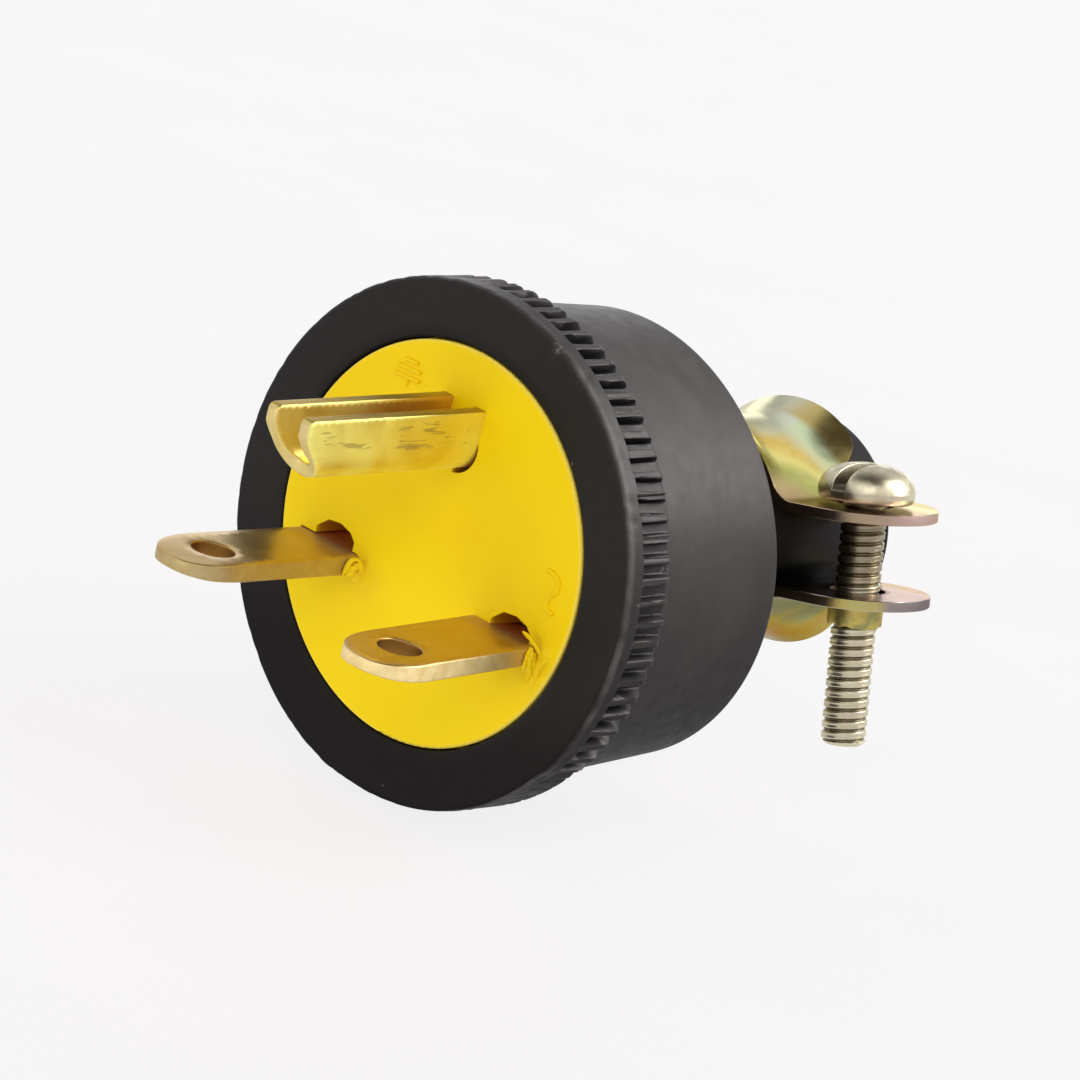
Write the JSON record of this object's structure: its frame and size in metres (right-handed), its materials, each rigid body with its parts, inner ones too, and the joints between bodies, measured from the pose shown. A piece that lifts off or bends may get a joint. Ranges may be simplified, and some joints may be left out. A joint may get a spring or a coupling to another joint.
{
  "type": "rubber earthed plug",
  "caption": "Round rubber mains plug with a yellow contact face, flat brass blades in line, a folded earth pin and a screwed cord clamp on its neck.",
  "frame": {"origin": "centre of the mating face, on the plug's axis", "axes": "+Y along the plug to the cord end, +Z towards the earth pin, X along the line of the two blades"},
  "size_m": [0.0396, 0.0609, 0.0396],
  "materials": {
    "black_rubber": "matte moulded rubber with a faint sheen",
    "yellow_plastic": "satin moulded plastic",
    "blade_brass": "stamped brass, lightly tarnished",
    "terminal_screw": "turned brass",
    "passivated_strap": "zinc plate with yellow iridescent passivate",
    "passivated_screw": "zinc plate with pale yellow passivate"
  },
  "bodies": {
    "plug": {"rubber_shell": "black_rubber", "contact_carrier": "yellow_plastic", "line_blade_left": "blade_brass", "line_blade_right": "blade_brass", "earth_pin": "blade_brass", "line_terminal_screw_left": "terminal_screw", "line_terminal_screw_right": "terminal_screw", "earth_terminal_screw": "terminal_screw", "lower_clamp_strap": "passivated_strap"},
    "upper_strap": {"upper_clamp_strap": "passivated_strap"},
    "near_screw": {"clamp_screw_near": "passivated_screw"},
    "far_screw": {"clamp_screw_far": "passivated_screw"}
  },
  "joints": [
    {"name": "strap_lift", "type": "slide", "parent": "plug", "child": "upper_strap", "axis": [-0.2113, 0, 0.9774], "range_m": [0, 0.009]},
    {"name": "near_screw_turn", "type": "hinge", "parent": "upper_strap", "child": "near_screw", "pos_m": [0.01271, 0.03395, 0.00275], "axis": [-0.2113, 0, 0.9774], "range_deg": [0, 4082]},
    {"name": "far_screw_turn", "type": "hinge", "parent": "upper_strap", "child": "far_screw", "pos_m": [-0.01271, 0.03395, -0.00275], "axis": [-0.2113, 0, 0.9774], "range_deg": [0, 4082]}
  ],
  "couplings": [
    {"joint": "near_screw_turn", "follows": "strap_lift", "rad_per_m": 7915.8},
    {"joint": "far_screw_turn", "follows": "strap_lift", "rad_per_m": 7915.8}
  ]
}
